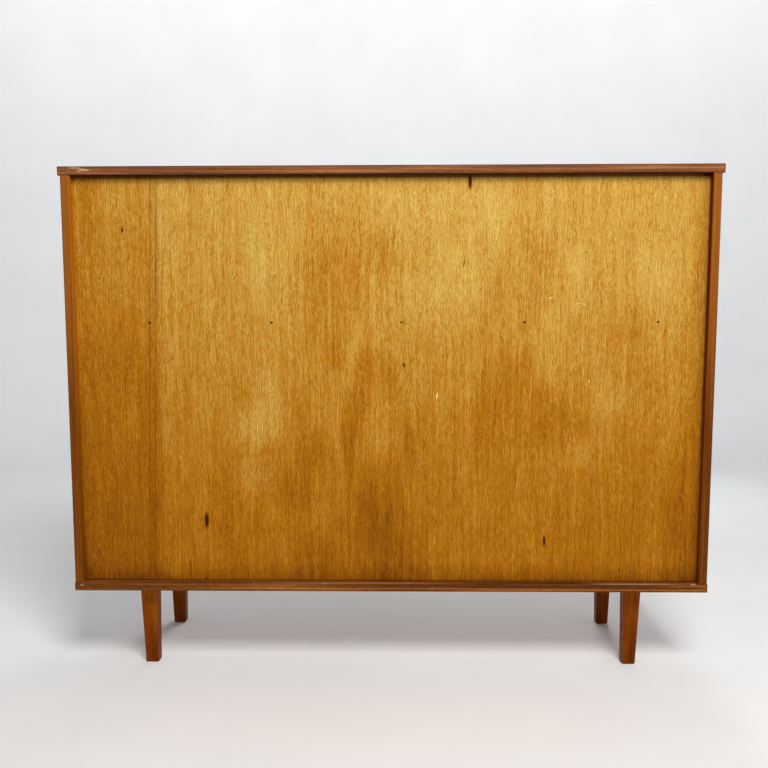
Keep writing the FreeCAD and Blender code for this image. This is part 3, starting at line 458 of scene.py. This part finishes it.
def float_glass():
    """Float glass with ground edges: clear with a faint green, and a trace of finger marks."""
    material, tree, place = new_finish("float_glass")
    smears = figure(tree, place, (30, 30, 45), seed=2.9, detail=3.0)
    gloss = layered(tree, (smears, 0.5, 0.75, 0.0, 0.06))
    values = {
        "Base Color": linear("FAFDFB"),
        "IOR": 1.52,
        "Specular IOR Level": 0.3,
        "Transmission Weight": 1.0,
    }
    pane = add(tree, "ShaderNodeBsdfPrincipled", {"Roughness": gloss}, values)
    # Light from the lamps goes straight through the pane, so that the display bay is lit.
    ray = add(tree, "ShaderNodeLightPath").outputs["Is Shadow Ray"]
    lit = add(tree, "ShaderNodeBsdfTransparent", None, {"Color": linear("F7FBF9")})
    shown = add(tree, "ShaderNodeMixShader", {0: ray, 1: pane, 2: lit})
    add(tree, "ShaderNodeOutputMaterial", {"Surface": shown})
    return material


def metal(name, clean, dull, roughness, seed):
    """Brass or steel, drawn or rolled: fine lines along it, and patches that dulled or rusted with age.
    The lines are drawn coarser than they are, so that they show."""
    material, tree, place = new_finish(name)
    patches = figure(tree, place, (9, 9, 9), seed=seed, detail=4.0)
    lines = figure(tree, place, (0.6, 0.6, 6), seed=seed + 3, detail=1.0)
    tone = layered(tree, (patches, 0.4, 0.68, 0.0, 0.7), (lines, *MOST, -0.08, 0.08))
    colour = add(tree, "ShaderNodeValToRGB", {"Fac": tone}, stops=((0.0, clean), (1.0, dull)))
    gloss = layered(
        tree,
        (patches, 0.35, 0.7, roughness, roughness + 0.2),
        (lines, *MOST, -0.04, 0.04),
    )
    return finished(material, tree, {"Base Color": colour, "Roughness": gloss}, {"Metallic": 1.0})


def black_laminate():
    """Decorative laminate, pressed with a fine satin grain: black, easily wiped, a little dusty. The grain is
    drawn coarser than it is, so that it shows."""
    material, tree, place = new_finish("black_laminate")
    grit = figure(tree, place, (0.8, 0.8, 0.8), seed=3.7, detail=2.0)
    dust = figure(tree, place, (60, 60, 60), seed=9.2, detail=3.0)
    colour = add(tree, "ShaderNodeValToRGB", {"Fac": dust}, stops=((0.3, "131314"), (0.75, "242322")))
    gloss = layered(tree, (dust, *MOST, 0.3, 0.44))
    relief = add(tree, "ShaderNodeBump", {"Height": grit}, {"Strength": 0.1, "Distance": 0.05 * MM})
    links = {"Base Color": colour, "Roughness": gloss, "Normal": relief}
    return finished(material, tree, links, {"IOR": 1.5})


def extruded_track():
    """Rigid PVC, extruded in lengths: dark brown, with faint lines along it and grey dust on it. The lines
    are drawn coarser than they are, so that they show."""
    material, tree, place = new_finish("extruded_pvc_track")
    lines = figure(tree, place, (400, 0.7, 0.7), seed=4.1, detail=1.0)
    dust = figure(tree, place, (50, 6, 6), seed=7.3, detail=3.0)
    colour = add(tree, "ShaderNodeValToRGB", {"Fac": lines}, stops=((0.3, "2C1B12"), (0.7, "3B261A")))
    colour = stained(tree, colour, "7A6E62", layered(tree, (dust, 0.55, 0.8, 0.0, 0.35)))
    gloss = layered(tree, (lines, *MOST, 0.4, 0.52))
    return finished(material, tree, {"Base Color": colour, "Roughness": gloss}, {"IOR": 1.53})


def moulded_nylon():
    """Nylon catch cases, injection moulded: ivory, yellowed unevenly, with a fine moulded texture, which is
    drawn coarser than it is, so that it shows."""
    material, tree, place = new_finish("moulded_nylon_catches")
    clouds = figure(tree, place, (14, 14, 14), seed=5.5, detail=2.0)
    grit = figure(tree, place, (0.5, 0.5, 0.5), seed=1.9, detail=1.0)
    colour = add(tree, "ShaderNodeValToRGB", {"Fac": clouds}, stops=((0.3, "CDBF9C"), (0.7, "DDD3B8")))
    relief = add(tree, "ShaderNodeBump", {"Height": grit}, {"Strength": 0.15, "Distance": 0.05 * MM})
    links = {"Base Color": colour, "Normal": relief}
    return finished(material, tree, links, {"Roughness": 0.5, "IOR": 1.53})


# The heads of the slotted screws. A head narrows to the rim's share of its width at the top.
SCREW_SIZES = {
    "Head radius": 2.6 * MM,
    "Head height": 0.25 * MM,
    "Slot width": 0.7 * MM,
    "Slot depth": 0.2 * MM,
}
RIM_SHARE, HEAD_SIDES = 0.86, 24
# The hinges' leaves, and their screws' heights up the leaf and depths behind the door's front.
LEAF_HEIGHT = 50 * MM
LEAF_SCREWS = ((9 * MM, 5 * MM), (25 * MM, 9 * MM), (41 * MM, 5 * MM))
# Half the distance between the two screws of a strike plate, of a catch and of the stay's bracket.
STRIKE_HALF, CATCH_HALF, BRACKET_HALF = 11 * MM, 14 * MM, 8 * MM
# The bracket's plate is this thick, and its screws lie this far in from its edge.
BRACKET_THICK, BRACKET_INSET = 2 * MM, 8 * MM


def screw_tree(material):
    """Slotted countersunk screws on points, each facing the way that its point says."""
    tree = bpy.data.node_groups.new("slotted_screws", "GeometryNodeTree")
    sockets = tree.interface
    sockets.new_socket("Points", in_out="INPUT", socket_type="NodeSocketGeometry")
    for name in SCREW_SIZES:
        sockets.new_socket(name, in_out="INPUT", socket_type="NodeSocketFloat")
    sockets.new_socket("Screws", in_out="OUTPUT", socket_type="NodeSocketGeometry")
    given = add(tree, "NodeGroupInput").outputs
    radius, height, slot_width, slot_depth = (given[number] for number in range(1, 5))
    rim = add(tree, "ShaderNodeMath", {0: radius}, {1: RIM_SHARE}, operation="MULTIPLY")
    cone = {"Radius Top": rim, "Radius Bottom": radius, "Depth": height}
    head = add(tree, "GeometryNodeMeshCone", cone, {"Vertices": HEAD_SIDES})
    # The slot's cutter is longer than the head is wide, and half of it stands above the head.
    length = add(tree, "ShaderNodeMath", {0: radius}, {1: 2.4}, operation="MULTIPLY")
    deep = add(tree, "ShaderNodeMath", {0: slot_depth}, {1: 2.0}, operation="MULTIPLY")
    slot_size = add(tree, "ShaderNodeCombineXYZ", {0: length, 1: slot_width, 2: deep})
    cutter = add(tree, "GeometryNodeMeshCube", {"Size": slot_size})
    lift = add(tree, "ShaderNodeCombineXYZ", {2: height})
    raised = add(tree, "GeometryNodeTransform", {"Geometry": cutter, "Translation": lift})
    slotted = add(tree, "GeometryNodeMeshBoolean", {0: head, 1: raised}, operation="DIFFERENCE")
    named = {"Name": "facing"}
    facing = add(tree, "GeometryNodeInputNamedAttribute", None, named, data_type="FLOAT_VECTOR")
    upright = add(tree, "FunctionNodeAlignRotationToVector", {"Vector": facing}, axis="Z")
    # Each slot stops at a turn of its own.
    spin = add(tree, "FunctionNodeRandomValue", None, {"Max": math.tau, "Seed": 7}, data_type="FLOAT")
    turn = add(tree, "FunctionNodeAxisAngleToRotation", {"Angle": spin.outputs[1]}, {"Axis": (0, 0, 1)})
    rotation = add(tree, "FunctionNodeRotateRotation", {0: upright, 1: turn}, rotation_space="LOCAL")
    links = {"Points": given[0], "Instance": slotted, "Rotation": rotation}
    placed = add(tree, "GeometryNodeInstanceOnPoints", links)
    solid = add(tree, "GeometryNodeRealizeInstances", {0: placed})
    coated = add(tree, "GeometryNodeSetMaterial", {"Geometry": solid}, {"Material": material})
    add(tree, "NodeGroupOutput", {0: coated})
    return tree


def screws(name, body, tree, places):
    """One body's screws as a plain mesh."""
    points = bpy.data.meshes.new(f"{name}_points")
    points.from_pydata([place for place, _ in places], [], [])
    facing = points.attributes.new("facing", "FLOAT_VECTOR", "POINT")
    for row, (_, direction) in zip(facing.data, places):
        row.vector = direction
    holder = bpy.data.objects.new(f"{name}_points", points)
    bpy.context.scene.collection.objects.link(holder)
    modifier = holder.modifiers.new("screws", "NODES")
    modifier.node_group = tree
    for item in tree.interface.items_tree:
        if item.name in SCREW_SIZES:
            modifier[item.identifier] = SCREW_SIZES[item.name]
    ready = holder.evaluated_get(bpy.context.evaluated_depsgraph_get())
    piece = bpy.data.objects.new(name, bpy.data.meshes.new_from_object(ready))
    bpy.data.objects.remove(holder)
    bpy.context.scene.collection.objects.link(piece)
    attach(piece, body)


def hinge_screws(door):
    """Three screws in each leaf: those of the door's leaves, and those of the frame's."""
    joint = next(joint for joint in frame["joints"] if joint["name"] == f"{door}_door_hinge")
    axis_x = joint["pos_m"][0]
    hand = -1 if door == "right" else 1
    low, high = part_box(f"{door}_door_leaves")
    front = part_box(f"{door}_door")[0].y
    half_gap = abs(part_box(f"{door}_door")[0 if hand > 0 else 1].x - axis_x)
    on_door, on_frame = [], []
    for start in (low.z, high.z - LEAF_HEIGHT):
        for rise, depth in LEAF_SCREWS:
            y = front + depth
            z = start + rise
            on_door.append(((axis_x + hand * half_gap, y, z), (-hand, 0, 0)))
            on_frame.append(((axis_x - hand * half_gap, y, z), (hand, 0, 0)))
    return on_door, on_frame


def fittings(tree):
    """The screws of every body: hinges, strike plates, catches and the stay's bracket."""
    carcass = []
    for door in DOORS:
        on_door, on_frame = hinge_screws(door)
        carcass += on_frame
        low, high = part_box(f"{door}_door_strike")
        middle = (low + high) / 2
        on_door += [((middle.x + way * STRIKE_HALF, high.y, middle.z), (0, 1, 0)) for way in (-1, 1)]
        screws(f"{door}_door_screws", f"{door}_door", tree, on_door)
    for catch in [f"{door}_door_catch" for door in DOORS] + ["flap_catch"]:
        low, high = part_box(catch)
        middle = (low + high) / 2
        carcass += [((middle.x + way * CATCH_HALF, middle.y, low.z), (0, 0, -1)) for way in (-1, 1)]
    screws("carcass_screws", "carcass", tree, carcass)
    low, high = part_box("flap_strike")
    middle = (low + high) / 2
    on_flap = [((middle.x + way * STRIKE_HALF, high.y, middle.z), (0, 1, 0)) for way in (-1, 1)]
    low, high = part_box("stay_bracket")
    middle = (low + high) / 2
    x, y = high.x - BRACKET_INSET, low.y + BRACKET_THICK
    on_flap += [((x, y, middle.z + way * BRACKET_HALF), (0, 1, 0)) for way in (-1, 1)]
    screws("flap_screws", "flap", tree, on_flap)


# Chips along the rear edges of the top and the base, with the columns of the knots.
TOP_CHIPS = (
    (561, 953.5, 15, 2.6, -6, 0.75),
    (578, 957, 16, 1.8, 0, 0.5),
    (569, 950.5, 9, 1.2, -8, 0.5),
)
BASE_CHIPS = (
    (593, 170.5, 5, 2.4, -8, 0.45),
    (123, 175, 5, 1.4, 0, 0.4),
    (-82, 167, 3, 1.5, 0, 0.4),
    (-470, 176, 115, 1.2, 0, 0.5),
    (-579, 176, 7, 2.6, 0, 0.6),
    (60, 176, 240, 1.0, 0, 0.25),
)


def dress_cabinet():
    """A finish for every node of the cabinet."""
    # The narrow faces beyond the panel get painted shade under the top and on the left side, and painted
    # light, amber, on the right.
    under = (HIGH, TOP_UNDERSIDE, "3C1206", 0.9)
    left = (WIDE, -SIDE_FACE, "5E1404", 0.85)
    right = (WIDE, SIDE_FACE, "C87412", 0.65)
    teak_veneer("top", WIDE, 1.1, WORN_AND_SHEEN_TEAK, ["top_board"], TOP_CHIPS, recess_light_and_shade=under)
    teak_veneer("base", WIDE, 18.7, SHADED_TEAK, ["base_board"], BASE_CHIPS)
    teak_veneer("left_side", HIGH, 22.3, AMBER_TEAK, ["left_side"], greyed=0.4, recess_light_and_shade=left)
    teak_veneer("right_side", HIGH, 31.9, AMBER_TEAK, ["right_side"], greyed=0.5, recess_light_and_shade=right)
    teak_veneer("shelves", WIDE, 44.2, FRONT_TEAK, ["middle_shelf", "loose_shelf", "bay_floor"])
    teak_veneer("partitions", HIGH, 57.8, FRONT_TEAK, ["upper_partition", "lower_partition"])
    teak_veneer("flap", HIGH, 66.6, FRONT_TEAK, ["flap_panel"])
    for number, door in enumerate(DOORS):
        teak_veneer(f"{door}_door", HIGH, 75.5 + 9.3 * number, FRONT_TEAK, [f"{door}_door"])
    dress(gaboon_plywood(), "back_panel")
    dress(stained_leg_wood(), "front_left_leg", "front_right_leg", "back_left_leg", "back_right_leg")
    dress(bare_beech(), "carcass_dowels")
    dress(turned_teak(), "flap_knob", *(f"{door}_door_knob" for door in DOORS))
    dress(float_glass(), "left_glass_door", "right_glass_door")
    dress(black_laminate(), "flap_lining", "bay_floor_lining")
    dress(extruded_track(), "lower_glass_track", "upper_glass_track")
    dress(moulded_nylon(), "flap_catch", *(f"{door}_door_catch" for door in DOORS))
    brass = metal("aged_brass", "C9A055", "7A5A2E", 0.24, 2.7)
    dress(brass, "flap_pivot_pins", "flap_pivot_bushes", "shelf_pegs", "leg_bushes")
    dress(brass, "stay_stud", "stay_rivet", "stay_arm", "stay_bracket")
    for door in DOORS:
        dress(brass, f"{door}_door_leaves", f"{door}_frame_leaves", f"{door}_hinge_pins")
    steel = metal("dulled_steel", "A9A6A1", "5F5A54", 0.32, 6.2)
    dress(steel, "leg_bolts", "flap_strike", *(f"{door}_door_strike" for door in DOORS))
    dress(metal("rusted_steel_pins", "3C2413", "20100A", 0.6, 8.8), "back_panel_pins")
    fittings(screw_tree(brass))


def studio_sweep():
    """A round pale floor that curves up into a pale wall on all sides, painted a matt off-white."""
    floor_radius, corner, wall_top = 2.6, 0.7, 3.2
    corner_steps, round_steps = 12, 96
    profile = [(0.0, 0.0), (floor_radius, 0.0)]
    for number in range(1, corner_steps + 1):
        angle = math.radians(90) * number / corner_steps
        profile.append((floor_radius + corner * math.sin(angle), corner * (1 - math.cos(angle))))
    profile.append((floor_radius + corner, wall_top))
    mesh = bmesh.new()
    points = [mesh.verts.new((x, 0, z)) for x, z in profile]
    edges = [mesh.edges.new(pair) for pair in zip(points, points[1:])]
    geom = points + edges
    bmesh.ops.spin(mesh, geom=geom, axis=(0, 0, 1), cent=(0, 0, 0), steps=round_steps, angle=math.tau)
    bmesh.ops.remove_doubles(mesh, verts=mesh.verts, dist=1e-5)
    bmesh.ops.recalc_face_normals(mesh, faces=mesh.faces)
    for side in mesh.faces:
        side.smooth = True
    sweep = bpy.data.objects.new("studio_sweep", bpy.data.meshes.new("studio_sweep"))
    mesh.to_mesh(sweep.data)
    mesh.free()
    bpy.context.scene.collection.objects.link(sweep)
    material, tree, place = new_finish("pale_studio_paint")
    clouds = figure(tree, place, (300, 300, 300), seed=1.0, detail=2.0)
    colour = add(tree, "ShaderNodeValToRGB", {"Fac": clouds}, stops=((0.3, "F0F1F2"), (0.7, "F4F5F6")))
    finished(material, tree, {"Base Color": colour}, {"Roughness": 0.9, "Specular IOR Level": 0.1})
    sweep.data.materials.append(material)


# The softboxes: place and aim, width and height, all in metres, power in watts, colour, spread in degrees.
SOFTBOXES = (
    ("key_softbox", (-0.5, 2.1, 2.5), (0, 0.1, 0.5), (1.0, 1.0), 69, "FFFDFA", 180),
    ("backdrop_softbox", (0, -1.5, 2.9), (0, -3.3, 2.4), (3.6, 0.6), 29, "FBFCFF", 180),
    ("front_softbox", (-0.6, -2.9, 1.6), (0, -0.1, 0.6), (1.0, 1.0), 15, "FFFDFA", 110),
    ("rear_backdrop_softbox", (0, 1.6, 2.9), (0, 3.3, 2.4), (3.6, 0.6), 14, "FBFCFF", 180),
)


def softbox(name, place, aim, size, power, colour, spread):
    lamp = bpy.data.lights.new(name, "AREA")
    lamp.shape = "RECTANGLE"
    lamp.size, lamp.size_y = size
    lamp.energy = power
    lamp.spread = math.radians(spread)
    lamp.color = linear(colour)[:3]
    holder = bpy.data.objects.new(name, lamp)
    holder.location = place
    holder.rotation_euler = (Vector(aim) - Vector(place)).to_track_quat("-Z", "Y").to_euler()
    holder.visible_camera = False
    bpy.context.scene.collection.objects.link(holder)


def studio_light():
    """The softboxes, and a faint even light from all around."""
    for row in SOFTBOXES:
        softbox(*row)
    world = bpy.data.worlds.new("studio_air")
    world.use_nodes = True
    background = world.node_tree.nodes["Background"]
    background.inputs["Color"].default_value = linear("F4F6FA")
    background.inputs["Strength"].default_value = 0.08
    bpy.context.scene.world = world
    bpy.context.scene.view_settings.view_transform = "Standard"


def photo_camera():
    """The camera of the photo: turned, then dipped towards the floor, then tilted about its own view."""
    turn, dip, tilt = CAMERA_TURN, CAMERA_DIP, CAMERA_TILT
    ahead = Vector((-math.sin(turn) * math.cos(dip), -math.cos(turn) * math.cos(dip), -math.sin(dip)))
    right = Vector((-math.cos(turn), math.sin(turn), 0))
    up = right.cross(ahead)
    side = math.cos(tilt) * right + math.sin(tilt) * up
    head = math.cos(tilt) * up - math.sin(tilt) * right
    lens = bpy.data.cameras.new("photo_camera")
    lens.sensor_width = CAMERA_SENSOR
    lens.lens = CAMERA_LENS
    lens.shift_x, lens.shift_y = CAMERA_SHIFT
    camera = bpy.data.objects.new("photo_camera", lens)
    turned = Matrix((side, head, -ahead)).transposed().to_4x4()
    camera.matrix_world = Matrix.Translation(CAMERA_PLACE) @ turned
    bpy.context.scene.collection.objects.link(camera)
    bpy.context.scene.camera = camera


dress_cabinet()
studio_sweep()
studio_light()
photo_camera()
